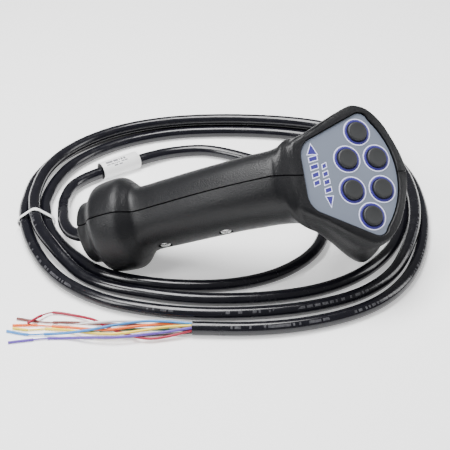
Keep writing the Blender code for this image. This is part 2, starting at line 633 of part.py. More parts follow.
def thread_insert(name, x, z, side):
    low, high = INSERT_Y
    sleeve = turned(name, [(INSERT_RADIUS, high), (INSERT_RADIUS, low), (SCREW_RADIUS + 0.25, low),
                           (SCREW_RADIUS + 0.25, high)], "brass", HANDLE, (x, 0, z), steps=16)
    sleeve.rotation_euler = (math.radians(90 * side), 0, 0)


def fasteners():
    for name, insert, x, z, side, seat, _length in GRIP_SCREWS:
        screw_along_y(name, x, z, side, seat, seat + 7.0)
        thread_insert(insert, x, z, side)
    clamp_x = sum(CLAMP_X) / 2
    for i, sign in enumerate((-1, 1), 1):
        screw_along_y(f"clamp_screw_{i}", clamp_x, AXIS_Z + sign * POST_OFFSET, -1, -CLAMP_Y[0], 13.0,
                      head=2.4, shank=1.2)


def cable_clamp():
    """A bar that presses the cable against the right half."""
    x = sum(CLAMP_X) / 2
    size = (CLAMP_X[1] - CLAMP_X[0], CLAMP_Y[1] - CLAMP_Y[0], 2 * CLAMP_HALF_HEIGHT)
    bm = bmesh.new()
    bmesh.ops.create_cube(bm, size=0.001)
    bmesh.ops.scale(bm, verts=bm.verts, vec=size)
    bar = add_object("cable_clamp", mesh_from(bm, "cable_clamp", smooth=False), "steel", HANDLE,
                     (x, sum(CLAMP_Y) / 2, AXIS_Z))
    for i, sign in enumerate((-1, 1), 1):
        hole = add_cutter(f"clamp_hole_{i}", cylinder_mesh("clamp_hole", 1.6, CLAMP_Y[0] - 2,
                                                           CLAMP_Y[1] + 2, axis="Y", sides=16),
                          HANDLE, (x, 0, AXIS_Z + sign * POST_OFFSET))
        join_or_cut(bar, hole, "DIFFERENCE")


def cable_grommet():
    """A flanged rubber bush that holds the cable in the end of the base."""
    out, back = BASE_END_X - 0.4, BASE_END_X + 3.9
    bore, neck = CABLE_RADIUS + 0.35, ENTRY_HOLE - 0.3
    profile = [(GROMMET_LIP, back + 1.4), (GROMMET_LIP, back), (neck, back), (neck, out),
               (GROMMET_LIP, out), (GROMMET_LIP - 0.5, out - 1.4), (bore, out - 1.6), (bore, back + 1.4)]
    grommet = turned("cable_grommet", profile, "rubber", HANDLE, (0, 0, AXIS_Z))
    grommet.rotation_euler = (0, math.radians(90), 0)


def inner_leads():
    """The cores inside the grip, from the clamped cable up to the switches."""
    route = [(-141.0, 0, AXIS_Z), (-136, 0, 15.5), (-128, 0, 10.0), (-118, 0, 6.5), (-100, 0, 5.0),
             (-80, 0, 5.0), (-62, 0, 4.5), (-50, 0, 3.4), (-42, 0, -1.2), (-37, 0, -6.5)]
    tube("inner_lead_bundle", smooth_path(route, 14), BUNDLE_RADIUS, "rubber", HANDLE, sides=1)


# ------------------------------------------------------------------ cable and what is on it

def cable_path(turn_step_deg):
    """The cable's centre line in metres, with more points where it bends more."""
    turn = HANDLE.rotation_euler.to_matrix()
    inside = [HANDLE.location + turn @ mm(x, 0.0, AXIS_Z) for x in ENTRY_X]
    knots = inside + [mm(*point) for point in CABLE_ROUTE]
    knots.append(2 * knots[-1] - knots[-2])
    points = inside[:-1]
    for i in range(len(inside) - 1, len(knots) - 2):
        bend = (knots[i + 1] - knots[i - 1]).angle(knots[i + 2] - knots[i])
        steps = math.ceil(math.degrees(bend) / turn_step_deg)
        points += [catmull(*knots[i - 1:i + 3], step / steps) for step in range(steps)]
    points.append(knots[-2])
    for point in points:
        point.z = max(point.z, CABLE_REST_Z * 0.001)
    return points


def cable():
    tube("cable", cable_path(CABLE_TURN_DEG), CABLE_RADIUS, "cable", sides=2)


def wires():
    for name, colour, route in WIRES:
        root = (WIRE_ROOT_X, *route[0])
        tube(name, smooth_path([root] + route[1:], WIRE_POINTS), WIRE_RADIUS, (colour, 0.45, 0.0), sides=1)


def tie_outline(radius, steps=6):
    """A band's outline pulled round three piled strands, seen along them."""
    points = []
    for i, centre in enumerate(TIE_STRANDS):
        before = Vector(centre) - Vector(TIE_STRANDS[i - 1])
        after = Vector(TIE_STRANDS[(i + 1) % 3]) - Vector(centre)
        start = math.atan2(-before.x, before.y)
        turn = (math.atan2(-after.x, after.y) - start) % (2 * math.pi)
        for step in range(steps + 1):
            angle = start + turn * step / steps
            points.append((centre[0] + radius * math.cos(angle), centre[1] + radius * math.sin(angle)))
    return points


def cable_tie():
    """A band round three strands of the coil."""
    outer = tie_outline(TIE_INNER_RADIUS + TIE_THICKNESS)
    inner = tie_outline(TIE_INNER_RADIUS)
    band = add_object("cable_tie", prism_mesh("cable_tie", outer, -TIE_WIDTH / 2, TIE_WIDTH / 2), "tie",
                      location=TIE_CENTRE)
    band.rotation_euler = (math.radians(90), 0, math.radians(TIE_HEADING_DEG))
    hole = add_cutter("tie_hole", prism_mesh("tie_hole", inner, -TIE_WIDTH, TIE_WIDTH), band)
    join_or_cut(band, hole, "DIFFERENCE")


def label_sleeve():
    """A printed sleeve round the cable, open at both ends."""
    start, end = (mm(*point) for point in SLEEVE_ENDS)
    centres = [start.lerp(end, i / 4) for i in range(5)]
    rings = []
    for radius in (SLEEVE_OUTER, SLEEVE_INNER):
        for i, centre in enumerate(centres):
            ahead = centres[min(i + 1, len(centres) - 1)] - centres[max(i - 1, 0)]
            side = ahead.cross(Vector((0, 0, 1))).normalized()
            up = side.cross(ahead).normalized()
            ring = []
            for k in range(16):
                angle = 2 * math.pi * k / 16
                ring.append(centre + (side * math.cos(angle) + up * math.sin(angle)) * radius * 0.001)
            rings.append(ring)
    count = len(centres)
    order = rings[:count] + rings[count:][::-1]
    bm = bmesh.new()
    loops = [[bm.verts.new(point) for point in ring] for ring in order]
    for first_loop, second_loop in zip(loops, loops[1:] + loops[:1]):
        for k in range(16):
            after = (k + 1) % 16
            bm.faces.new((first_loop[k], first_loop[after], second_loop[after], second_loop[k]))
    add_object("label_sleeve", mesh_from(bm, "label_sleeve"), "sleeve")


clear_scene()
PARTS = new_collection("pendant_control_station")
CUTTERS = new_collection("cutters")
HANDLE = new_empty("handle_frame", mm(*HANDLE_ORIGIN), [math.radians(a) for a in HANDLE_TURN_DEG])
FACE = new_empty("face_frame", (0, 0, 0), (0, math.radians(FACE_TILT_DEG), 0), HANDLE)
grip_shells()
switches()
fasteners()
cable_clamp()
cable_grommet()
inner_leads()
cable()
wires()
cable_tie()
label_sleeve()
bpy.context.view_layer.update()
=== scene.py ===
"""The looks of the pendant control station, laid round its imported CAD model.

Two local frames repeat the ones the solids were made in. HANDLE has X along the grip towards the head,
Y across the split between the halves and Z towards the thumb. FACE sits at the middle of the button
plate, with X towards the tip of the head and Z out of the plate. Sizes are in millimetres and are
turned into metres by mm().
"""

import math

import bmesh
import bpy
from mathutils import Euler, Matrix, Vector


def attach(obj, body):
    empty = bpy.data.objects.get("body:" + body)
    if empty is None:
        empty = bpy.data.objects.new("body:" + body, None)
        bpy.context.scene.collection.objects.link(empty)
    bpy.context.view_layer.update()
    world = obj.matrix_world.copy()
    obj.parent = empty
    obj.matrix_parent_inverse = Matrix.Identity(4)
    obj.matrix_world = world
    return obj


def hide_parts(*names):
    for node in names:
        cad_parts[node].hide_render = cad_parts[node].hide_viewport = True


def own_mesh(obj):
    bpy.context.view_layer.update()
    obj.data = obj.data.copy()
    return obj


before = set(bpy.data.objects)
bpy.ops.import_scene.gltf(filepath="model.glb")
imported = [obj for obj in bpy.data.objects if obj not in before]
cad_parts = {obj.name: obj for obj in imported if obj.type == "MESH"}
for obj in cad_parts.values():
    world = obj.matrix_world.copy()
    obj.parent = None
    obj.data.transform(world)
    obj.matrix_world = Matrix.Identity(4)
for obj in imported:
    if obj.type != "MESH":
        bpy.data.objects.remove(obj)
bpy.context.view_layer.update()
STATION = "station"

# ---- where the grip lies, and the form of its skin ----
HANDLE_ORIGIN = (72.898, -13.367, 70.171)
HANDLE_TURN_DEG = (42.3, -21.3, -7.9)
FACE_TILT_DEG = 37.3
AXIS_Z = 17.8
BASE_END_X = -171.0
FACE_PLANE = 2.0
GRIP_SQUARENESS = 2.35
# place along the grip and radius
BULB = [(-171.0, 17.4), (-170.2, 18.9), (-164.6, 19.8), (-160.6, 24.8), (-157.0, 27.3),
        (-149.0, 28.3), (-141.5, 27.9), (-136.5, 23.6)]
# place along the grip, top, bottom and half width
GRIP = [(-131.5, 37.6, -2.2, 19.6), (-115.0, 38.7, -3.0, 19.6), (-96.0, 40.2, -3.6, 19.9),
        (-78.0, 40.6, -4.2, 20.2), (-63.0, 39.9, -5.8, 20.8)]
ROWS_PER_SPAN = 6
COLUMNS_PER_SPAN = 5
SEAM_HALF_GAP = 0.16
SEAM_HALF_WIDTH = 0.42
SEAM_DEPTH = 0.55
RIM_ROUNDING = 1.1
ENTRY_HOLE = 6.9

# ---- label, buttons and springs, in the FACE frame ----
TIP_RADIUS = 50.7
LABEL_TIP = 19.8
LABEL_CORNERS = [[(-38.2, 12.5), (-36.6, 17.6), (-33.2, 21.4)], [(-1.4, 36.7), (2.6, 37.6), (6.2, 35.8)]]
LEDGE_Z = -2.3
LABEL_TOP = 0.3
LABEL_HOLE = 7.6
COLLAR_PROFILE = [(7.5, 0.0), (7.5, LABEL_TOP), (7.9, LABEL_TOP), (7.9, LABEL_TOP + 0.06), (7.3, 0.68),
                  (6.6, 0.66), (6.3, 0.5), (6.3, 0.0)]
RING_PRINT_PROFILE = [(8.5, LABEL_TOP - 0.02), (8.5, LABEL_TOP + 0.05), (7.8, LABEL_TOP + 0.05),
                      (7.8, LABEL_TOP - 0.02)]
MOTIF_HALO = 0.5
CAP_PROFILE = [(0.0, 2.16), (2.0, 2.18), (3.7, 2.26), (4.5, 2.36), (5.0, 2.39), (5.4, 2.34), (5.7, 2.18),
               (5.9, 1.9), (6.0, 1.5), (6.0, -4.2), (2.0, -4.2), (2.0, -9.0), (0.0, -9.0)]
SPRING_Z = (-8.0, -4.65)
SPRING_RADIUS = 3.8
SPRING_WIRE = 0.3
SPRING_TURNS = 3
BUTTON_CENTRES = [(-0.7, 25.8), (-10.1, 9.2), (8.7, 9.2), (-10.1, -10.0), (8.7, -10.0),
                  (-0.7, -26.1)]

# ---- screws: name, x, z, side of the head, seat of the head ----
SCREWS = [("grip_screw_1", -122.5, 18.3, -1, 17.4), ("grip_screw_2", -83.5, 18.3, -1, 18.2),
          ("head_screw", -20.2, -29.9, 1, 15.0)]
SCREW_PROFILE = [(0.0, 2.2), (1.4, 2.15), (2.6, 1.85), (3.3, 1.3), (3.6, 0.6), (3.6, 0.0), (1.5, 0.0),
                 (1.5, -8.0), (0.0, -8.0)]
SCREW_TURN_DEG = 24.0
COUNTERBORE_RADIUS = 4.3

# ---- the cable, its cores, the tie and the sleeve, on the table ----
CABLE_RADIUS = 4.0
ENTRY_X = (-142.5, -151.0, -160.0, -169.0, -176.0)
CABLE_ROUTE = [
    (-99.8, -0.9, 17.4), (-105.8, 4.5, 16.4), (-110.6, 14.9, 15.4), (-113.2, 29.5, 12.9),
    (-115.4, 43.0, 8.6), (-116.8, 58.5, 4.6), (-113.6, 74.5, 4.4), (-102.6, 87.1, 4.9),
    (-83.6, 99.7, 4.9), (-64.6, 112.3, 4.9), (-45.6, 121.5, 4.1), (-22.6, 124.0, 4.1),
    (1.4, 115.5, 4.1), (23.4, 101.5, 4.1), (41.4, 82.5, 4.1), (52.4, 60.5, 4.1),
    (56.4, 38.5, 4.1), (54.9, 18.5, 4.1), (48.4, 1.5, 4.1), (37.4, -12.5, 4.1),
    (22.4, -24.0, 4.1), (4.4, -31.5, 4.1), (-16.6, -35.0, 4.1), (-39.6, -34.5, 4.1),
    (-60.6, -31.0, 4.1), (-76.6, -26.0, 4.1), (-88.1, -19.5, 4.1), (-98.6, -9.5, 4.1),
    (-108.6, 1.5, 4.1), (-117.6, 14.0, 4.7), (-124.1, 27.5, 5.3), (-127.6, 42.0, 4.9),
    (-129.6, 58.5, 4.1), (-126.1, 81.5, 4.1), (-117.1, 103.5, 4.1), (-99.6, 123.5, 4.1),
    (-75.6, 139.0, 4.1), (-45.6, 149.0, 4.1), (-8.6, 152.0, 4.1), (29.4, 149.5, 4.1),
    (60.4, 141.5, 4.1), (84.4, 127.0, 4.1), (100.4, 106.5, 4.1), (108.9, 82.5, 4.1),
    (110.9, 55.5, 4.1), (106.9, 29.0, 4.1), (97.2, 4.5, 4.1), (82.9, -15.0, 4.1),
    (65.9, -29.5, 4.1), (44.4, -40.0, 4.1), (18.4, -46.0, 4.1), (-8.6, -48.0, 4.1),
    (-34.6, -46.5, 4.1), (-59.6, -41.5, 4.1), (-79.6, -35.0, 4.1), (-95.1, -25.5, 4.3),
    (-106.6, -13.0, 5.8), (-117.1, 0.5, 8.6), (-125.8, 14.0, 10.2), (-131.5, 28.5, 10.4),
    (-134.6, 42.5, 10.4), (-136.1, 58.5, 10.5), (-133.1, 83.0, 11.4), (-123.1, 107.0, 11.4),
    (-104.6, 128.5, 11.4), (-79.6, 144.5, 11.4), (-47.1, 154.5, 11.4), (-8.6, 157.7, 11.4),
    (31.4, 155.0, 11.4), (63.4, 147.0, 11.4), (88.9, 131.5, 11.4), (105.9, 109.5, 11.4),
    (114.4, 84.0, 11.4), (116.9, 55.5, 11.4), (114.4, 27.5, 11.0), (106.9, 1.5, 8.6),
    (95.9, -20.0, 5.2), (80.9, -36.0, 4.1), (61.4, -48.0, 4.1), (32.4, -57.0, 4.1),
    (-3.6, -61.0, 4.1), (-37.6, -59.5, 4.1), (-68.6, -53.0, 4.1), (-89.6, -43.5, 4.1),
    (-106.1, -31.0, 4.1), (-118.1, -16.5, 4.1), (-127.1, -1.0, 4.1), (-133.6, 13.5, 4.6),
    (-138.7, 29.0, 5.3), (-141.5, 43.0, 4.9), (-142.3, 59.5, 4.1), (-140.1, 84.5, 4.1),
    (-129.6, 110.5, 4.1), (-110.1, 133.5, 4.1), (-83.1, 150.5, 4.1), (-48.6, 160.5, 4.1),
    (-8.6, 163.5, 4.1), (32.9, 160.5, 4.1), (66.4, 152.0, 4.1), (93.4, 136.0, 4.1),
    (111.4, 112.5, 4.1), (120.4, 85.5, 4.1), (122.9, 55.5, 4.1), (120.4, 25.5, 4.1),
    (113.4, -3.0, 4.1), (101.9, -28.0, 4.1), (84.9, -48.0, 4.1), (62.9, -61.5, 4.1),
    (34.4, -70.5, 4.1), (5.4, -74.0, 4.1), (-27.3, -73.5, 4.1)]
CABLE_REST_Z = 4.02
CABLE_TURN_DEG = 2.5

WIRE_RADIUS = 0.8
BARE_RADIUS = 0.42
WIRE_ROOT_X = -27.6
# name, colour, length of the slug at the tip, length of the bare stretch behind it, route
WIRES = [
    ("wire_brown", (0.17, 0.048, 0.040), 13, 9,
     [(-71.7, 2.3), (-42.6, -67.2, 0.9), (-56.6, -67.0, 0.9), (-70.6, -66.6, 0.9), (-84.6, -65.8, 0.9),
      (-98.6, -64.9, 0.9), (-110.6, -64.8, 0.9), (-118.6, -63.8, 0.9), (-129.6, -61.4, 0.9)]),
    ("wire_green", (0.008, 0.095, 0.030), 5, 6,
     [(-73.5, 2.3), (-42.6, -71.0, 0.9), (-56.6, -70.9, 0.9), (-70.6, -71.2, 0.9), (-82.6, -72.4, 0.9),
      (-91.6, -72.6, 0.9)]),
    ("wire_black", (0.02, 0.02, 0.02), 5, 6,
     [(-75.3, 2.3), (-42.6, -75.2, 0.9), (-56.6, -76.4, 0.9), (-70.6, -77.6, 0.9), (-88.6, -78.0, 0.9)]),
    ("wire_white", (0.80, 0.79, 0.80), 4, 9,
     [(-71.1, 4.1), (-42.6, -66.4, 2.8), (-56.6, -66.3, 3.2), (-70.6, -67.9, 4.5), (-84.6, -69.8, 4.9),
      (-98.6, -67.6, 1.2), (-104.6, -67.2, 0.9)]),
    ("wire_orange", (0.86, 0.15, 0.025), 14, 9,
     [(-73.3, 4.1), (-42.6, -69.8, 4), (-56.6, -72.0, 4.5), (-70.6, -75.3, 5.0), (-76.6, -75.0, 4.0),
      (-84.6, -73.7, 3.4), (-98.6, -70.2, 1.8), (-110.6, -68.0, 0.9), (-118.6, -67.1, 0.9),
      (-131.1, -67.5, 0.9)]),
    ("wire_red", (0.32, 0.003, 0.030), 10, 7,
     [(-75.7, 4.1), (-42.6, -79.6, 2.7), (-54.6, -80.6, 2.7), (-70.6, -74.5, 2.8), (-78.6, -69.4, 2.9),
      (-84.6, -64.8, 3.0), (-97.6, -58.5, 1.1), (-109.1, -56.7, 1.5), (-115.6, -61.0, 2.6),
      (-122.1, -67.7, 2.8)]),
    ("wire_blue", (0.045, 0.24, 0.60), 13, 9,
     [(-71.7, 5.9), (-42.6, -69.9, 6), (-56.6, -69.4, 5.5), (-70.6, -72.7, 5.8), (-76.6, -74.8, 6.1),
      (-84.6, -76.7, 5.7), (-98.6, -77.0, 3.4), (-110.6, -75.5, 1.4), (-121.6, -75.3, 0.9),
      (-133.6, -72.4, 0.9)]),
    ("wire_yellow", (0.93, 0.68, 0.055), 9, 10,
     [(-73.5, 5.9), (-42.6, -73.3, 4.7), (-56.6, -76.3, 4.5), (-70.6, -78.9, 4.5), (-84.6, -77.3, 3.6),
      (-98.6, -72.7, 1.8), (-110.6, -70.5, 0.9), (-121.6, -71.4, 0.9), (-130.6, -69.9, 0.9)]),
    ("wire_purple", (0.115, 0.055, 0.38), 14, 8,
     [(-75.3, 5.9), (-42.6, -77.6, 4.7), (-56.6, -79.9, 4.6), (-70.6, -81.9, 4.5), (-84.6, -80.8, 3.4),
      (-98.6, -78.6, 1.1), (-110.6, -78.8, 0.9), (-118.6, -80.0, 0.9), (-131.1, -82.2, 0.9)])]

TIE_CENTRE = (-132.0, 31.0, 5.3)
TIE_HEADING_DEG = 2.0
TIE_STRANDS = [(-7.15, 0.0), (7.15, 0.0), (0.0, 5.1)]   # across the coil and up, from the centre
TIE_INNER_RADIUS = 4.65
TIE_THICKNESS = 0.55
TIE_WIDTH = 2.6
SLEEVE_ENDS = [(-95.7, 91.7, 6.2), (-71.5, 107.7, 6.2)]
SLEEVE_INNER = 5.65
SLEEVE_OUTER = 6.1
# rows of bars on the sleeve: low and high edge round it, start and end along it, cells
SLEEVE_ROWS = [(0.195, 0.245, 0.12, 0.66, 40.0), (0.155, 0.177, 0.12, 0.74, 56.0),
               (0.112, 0.134, 0.30, 0.52, 30.0)]
# the ticks printed on the cable: place and half width round it, cells per metre, start along it in metres
TICK_PLACE = 0.36
TICK_HALF_WIDTH = 0.032
TICKS_PER_METRE = 850.0
TICKS_START = 1.30

# ---- colours of the printed label ----
SLATE = (0.128, 0.149, 0.195)
NAVY = (0.036, 0.030, 0.190)
LAVENDER = (0.70, 0.72, 0.95)

# ---- camera and light; each softbox is a name, place, target, size and power ----
CAMERA_PLACE = (-8.6, -506.55, 379.0)
CAMERA_PITCH_DEG = 55.0
WORLD_STRENGTH = 0.24
FLOOR_GLOW = 0.45
SOFTBOXES = [("top_softbox", (-0.15, 0.15, 0.95), (0.0, 0.03, 0.0), (0.7, 0.45), 22.0),
             ("left_softbox", (-0.75, -0.55, 0.75), (0.0, 0.0, 0.03), (0.35, 0.5), 9.0),
             ("right_softbox", (0.95, 0.1, 0.5), (0.0, 0.0, 0.03), (0.35, 0.6), 4.0)]


def mm(*values):
    """A vector in metres from values in millimetres."""
    return Vector([value * 0.001 for value in values])


HANDLE = (Matrix.Translation(mm(*HANDLE_ORIGIN))
          @ Euler([math.radians(a) for a in HANDLE_TURN_DEG]).to_matrix().to_4x4())
FACE = HANDLE @ Matrix.Rotation(math.radians(FACE_TILT_DEG), 4, "Y")


# ------------------------------------------------------------------ camera

def add_camera():
    data = bpy.data.cameras.new("camera")
    data.lens = 80.0
    data.sensor_width = 36.0
    data.clip_start = 0.02
    data.clip_end = 20.0
    camera = bpy.data.objects.new("camera", data)
    camera.location = mm(*CAMERA_PLACE)
    camera.rotation_euler = (math.radians(CAMERA_PITCH_DEG), 0.0, 0.0)
    bpy.context.scene.collection.objects.link(camera)
    bpy.context.scene.camera = camera


# ------------------------------------------------------------------ materials

class Shading:
    """A Principled material and short ways to add nodes to it."""

    def __init__(self, name, colour, roughness, metallic=0.0, **sockets):
        self.material = bpy.data.materials.new(name)
        self.material.use_nodes = True
        self.tree = self.material.node_tree
        self.shader = self.tree.nodes["Principled BSDF"]
        self.shader.inputs["Base Color"].default_value = (*colour, 1.0)
        self.shader.inputs["Roughness"].default_value = roughness
        self.shader.inputs["Metallic"].default_value = metallic
        for socket, value in sockets.items():
            self.shader.inputs[socket.replace("_", " ")].default_value = value
        self.material.diffuse_color = (*colour, 1.0)

    def link(self, source, target):
        self.tree.links.new(source, target)

    def coords(self, kind="Object"):
        return self.tree.nodes.new("ShaderNodeTexCoord").outputs[kind]

    def noise(self, scale, detail=3.0):
        node = self.tree.nodes.new("ShaderNodeTexNoise")
        node.inputs["Scale"].default_value = scale
        node.inputs["Detail"].default_value = detail
        self.link(self.coords(), node.inputs["Vector"])
        return node.outputs["Fac"]

    def ramp(self, source, stops):
        node = self.tree.nodes.new("ShaderNodeValToRGB")
        ramp = node.color_ramp
        while len(ramp.elements) < len(stops):
            ramp.elements.new(0.5)
        for element, (place, colour) in zip(ramp.elements, stops):
            element.position = place
            element.color = (*colour, 1.0)
        self.link(source, node.inputs["Fac"])
        return node.outputs["Color"]

    def math(self, operation, first, second):
        node = self.tree.nodes.new("ShaderNodeMath")
        node.operation = operation
        for socket, value in zip(node.inputs, (first, second)):
            if isinstance(value, (int, float)):
                socket.default_value = value
            else:
                self.link(value, socket)
        return node.outputs["Value"]

    def spread(self, source, low, high):
        """The source's middle range stretched to run between two values."""
        node = self.tree.nodes.new("ShaderNodeMapRange")
        node.inputs["From Min"].default_value = 0.3
        node.inputs["From Max"].default_value = 0.7
        node.inputs["To Min"].default_value = low
        node.inputs["To Max"].default_value = high
        self.link(source, node.inputs["Value"])
        return node.outputs["Result"]

    def mix(self, mask, first, second):
        node = self.tree.nodes.new("ShaderNodeMix")
        node.data_type = "RGBA"
        self.link(mask, node.inputs["Factor"])
        for socket, value in ((node.inputs["A"], first), (node.inputs["B"], second)):
            if isinstance(value, tuple):
                socket.default_value = (*value, 1.0)
            else:
                self.link(value, socket)
        return node.outputs["Result"]

    def colour(self, source):
        self.link(source, self.shader.inputs["Base Color"])

    def rough(self, source):
        self.link(source, self.shader.inputs["Roughness"])

    def bump(self, height, strength, distance_mm):
        node = self.tree.nodes.new("ShaderNodeBump")
        node.inputs["Strength"].default_value = strength
        node.inputs["Distance"].default_value = distance_mm * 0.001
        self.link(height, node.inputs["Height"])
        self.link(node.outputs["Normal"], self.shader.inputs["Normal"])


def shade(colour, factor):
    return tuple(min(1.0, channel * factor) for channel in colour)


def moulded(name, colour, roughness, grain=2200.0, strength=0.25, depth=0.05, variation=0.12, **sockets):
    """A moulded plastic or rubber: fine grain, patchy gloss and slight colour variation."""
    look = Shading(name, colour, roughness, **sockets)
    patches = look.noise(45.0, 4.0)
    look.colour(look.ramp(patches, [(0.3, shade(colour, 1 - variation)),
                                    (0.7, shade(colour, 1 + variation))]))
    fine = look.noise(grain, 2.0)
    look.rough(look.spread(look.math("ADD", look.math("MULTIPLY", patches, 0.5),
                                     look.math("MULTIPLY", fine, 0.5)),
                           roughness - 0.05, roughness + 0.06))
    look.bump(fine, strength, depth)
    return look.material


def metal(name, colour, roughness, grain=900.0):
    look = Shading(name, colour, roughness, 1.0)
    fine = look.noise(grain, 3.0)
    look.colour(look.ramp(fine, [(0.3, shade(colour, 0.85)), (0.7, shade(colour, 1.1))]))
    look.rough(look.spread(fine, roughness - 0.06, roughness + 0.08))
    look.bump(fine, 0.1, 0.02)
    return look.material


def printed_cable(name):
    """A glossy black sheath with a faint row of plain printed ticks along one side of it."""
    colour = (0.005, 0.005, 0.008)
    look = Shading(name, colour, 0.22, Specular_IOR_Level=0.40, Coat_Weight=0.15, Coat_Roughness=0.10)
    uv = look.tree.nodes.new("ShaderNodeSeparateXYZ")
    look.link(look.coords("UV"), uv.inputs["Vector"])
    along, round_it = uv.outputs["X"], uv.outputs["Y"]
    off_centre = look.math("ABSOLUTE", look.math("SUBTRACT", round_it, TICK_PLACE), 0.0)
    band = look.math("LESS_THAN", off_centre, TICK_HALF_WIDTH)
    cells = look.tree.nodes.new("ShaderNodeTexWhiteNoise")
    cells.noise_dimensions = "1D"
    look.link(look.math("FLOOR", look.math("MULTIPLY", along, TICKS_PER_METRE), 0.0), cells.inputs["W"])
    tick = look.math("GREATER_THAN", cells.outputs["Value"], 0.45)
    run = look.math("GREATER_THAN", look.noise(30.0, 1.0), 0.47)
    outer_turn = look.math("GREATER_THAN", along, TICKS_START)
    mask = look.math("MULTIPLY", look.math("MULTIPLY", band, tick), look.math("MULTIPLY", run, outer_turn))
    worn = look.math("MULTIPLY", mask, look.spread(look.noise(600.0, 2.0), 0.2, 0.6))
    look.colour(look.mix(worn, colour, (0.13, 0.13, 0.14)))
    smear = look.noise(110.0, 4.0)
    look.rough(look.spread(smear, 0.12, 0.30))
    look.bump(smear, 0.3, 0.16)
    return look.material


def printed_sleeve(name):
    """A white marker sleeve with rows of plain grey bars."""
    look = Shading(name, (0.80, 0.80, 0.80), 0.42)
    uv = look.tree.nodes.new("ShaderNodeSeparateXYZ")
    look.link(look.coords("UV"), uv.inputs["Vector"])
    along, round_it = uv.outputs["X"], uv.outputs["Y"]
    total = None
    for low, high, start, end, pieces in SLEEVE_ROWS:
        row = look.math("MULTIPLY", look.math("GREATER_THAN", round_it, low),
                        look.math("LESS_THAN", round_it, high))
        span = look.math("MULTIPLY", look.math("GREATER_THAN", along, start),
                         look.math("LESS_THAN", along, end))
        cells = look.tree.nodes.new("ShaderNodeTexWhiteNoise")
        cells.noise_dimensions = "1D"
        look.link(look.math("FLOOR", look.math("MULTIPLY", along, pieces), 0.0), cells.inputs["W"])
        bars = look.math("MULTIPLY", look.math("MULTIPLY", row, span),
                         look.math("GREATER_THAN", cells.outputs["Value"], 0.3))
        total = bars if total is None else look.math("MAXIMUM", total, bars)
    look.colour(look.mix(total, (0.80, 0.80, 0.80), (0.13, 0.13, 0.15)))
    paper = look.noise(700.0, 3.0)
    look.rough(look.spread(paper, 0.36, 0.52))
    look.bump(paper, 0.15, 0.03)
    return look.material


# ------------------------------------------------------------------ pieces

def finish_mesh(bm, name, smooth_deg=35.0):
    bmesh.ops.recalc_face_normals(bm, faces=bm.faces)
    mesh = bpy.data.meshes.new(name)
    bm.to_mesh(mesh)
    bm.free()
    mesh.shade_smooth()
    mesh.set_sharp_from_angle(angle=math.radians(smooth_deg))
    return mesh


def add_piece(name, data, materials, matrix=None, replaced=(), body=STATION):
    """A shown piece that rides on a body, in the place given by a matrix."""
    piece = bpy.data.objects.new(name, data)
    bpy.context.scene.collection.objects.link(piece)
    data.materials.clear()
    for material in materials:
        data.materials.append(material)
    if matrix is not None:
        data.transform(matrix)
    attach(piece, body)
    if replaced:
        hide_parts(*replaced)
    return piece


def catmull(a, b, c, d, t):
    """A point between b and c on a smooth curve through a, b, c and d."""
    return 0.5 * (2 * b + (c - a) * t + (2 * a - 5 * b + 4 * c - d) * t * t
                  + (3 * b - a - 3 * c + d) * t * t * t)


def lathe(bm, profile, steps=48, matrix=None):
    """A turned closed solid about Z, added to a bmesh. The profile is its half section, in order."""
    rings = []
    for radius, z in profile:
        if radius == 0.0:
            rings.append([bm.verts.new(mm(0, 0, z))])
        else:
            rings.append([bm.verts.new(mm(radius * math.cos(2 * math.pi * k / steps),
                                          radius * math.sin(2 * math.pi * k / steps), z))
                          for k in range(steps)])
    for i, first in enumerate(rings):
        second = rings[(i + 1) % len(rings)]
        for k in range(steps):
            after = (k + 1) % steps
            corners = [first[k % len(first)], first[after % len(first)], second[after % len(second)],
                       second[k % len(second)]]
            corners = list(dict.fromkeys(corners))
            if len(corners) > 2:
                bm.faces.new(corners)
    if matrix is not None:
        bmesh.ops.transform(bm, matrix=matrix, verts=[v for ring in rings for v in ring])


def prism(bm, levels):
    """A closed solid through flat outlines at rising heights: [(outline, z), ...]."""
    rings = [[bm.verts.new(mm(x, y, z)) for x, y in outline] for outline, z in levels]
    for first, second in zip(rings, rings[1:]):
        for k in range(len(first)):
            after = (k + 1) % len(first)
            bm.faces.new((first[k], first[after], second[after], second[k]))
    bm.faces.new(rings[0][::-1])
    bm.faces.new(rings[-1])


def swept_tube(points, radii, sides, slots=None):
    """A closed tube along points in metres, with a radius and a material slot at each, and UVs."""
    bm = bmesh.new()
    layer = bm.loops.layers.uv.new("UVMap")
    rings, lengths = [], [0.0]
    for before, after in zip(points, points[1:]):
        lengths.append(lengths[-1] + (after - before).length)
    last = len(points) - 1
    for i, centre in enumerate(points):
        ahead = (points[min(i + 1, last)] - points[max(i - 1, 0)]).normalized()
        side = ahead.cross(Vector((0, 0, 1))).normalized()
        up = side.cross(ahead).normalized()
        rings.append([bm.verts.new(centre + radii[i] * (side * math.cos(2 * math.pi * k / sides)
                                                        + up * math.sin(2 * math.pi * k / sides)))
                      for k in range(sides)])
    for i in range(last):
        for k in range(sides):
            after = (k + 1) % sides
            face = bm.faces.new((rings[i][k], rings[i][after], rings[i + 1][after], rings[i + 1][k]))
            face.material_index = slots[i] if slots else 0
            places = ((lengths[i], k), (lengths[i], k + 1), (lengths[i + 1], k + 1), (lengths[i + 1], k))
            for loop, (u, v) in zip(face.loops, places):
                loop[layer].uv = (u, v / sides)
    for ring, index in ((rings[0][::-1], 0), (rings[-1], last - 1)):
        cap = bm.faces.new(ring)
        cap.material_index = slots[index] if slots else 0
    return bm


# ------------------------------------------------------------------ the grip's form

def tilted(u, n):
    """A point of the FACE frame's middle plane, in the HANDLE frame."""
    angle = math.radians(FACE_TILT_DEG)
    return (u * math.cos(angle) + n * math.sin(angle), -u * math.sin(angle) + n * math.cos(angle))


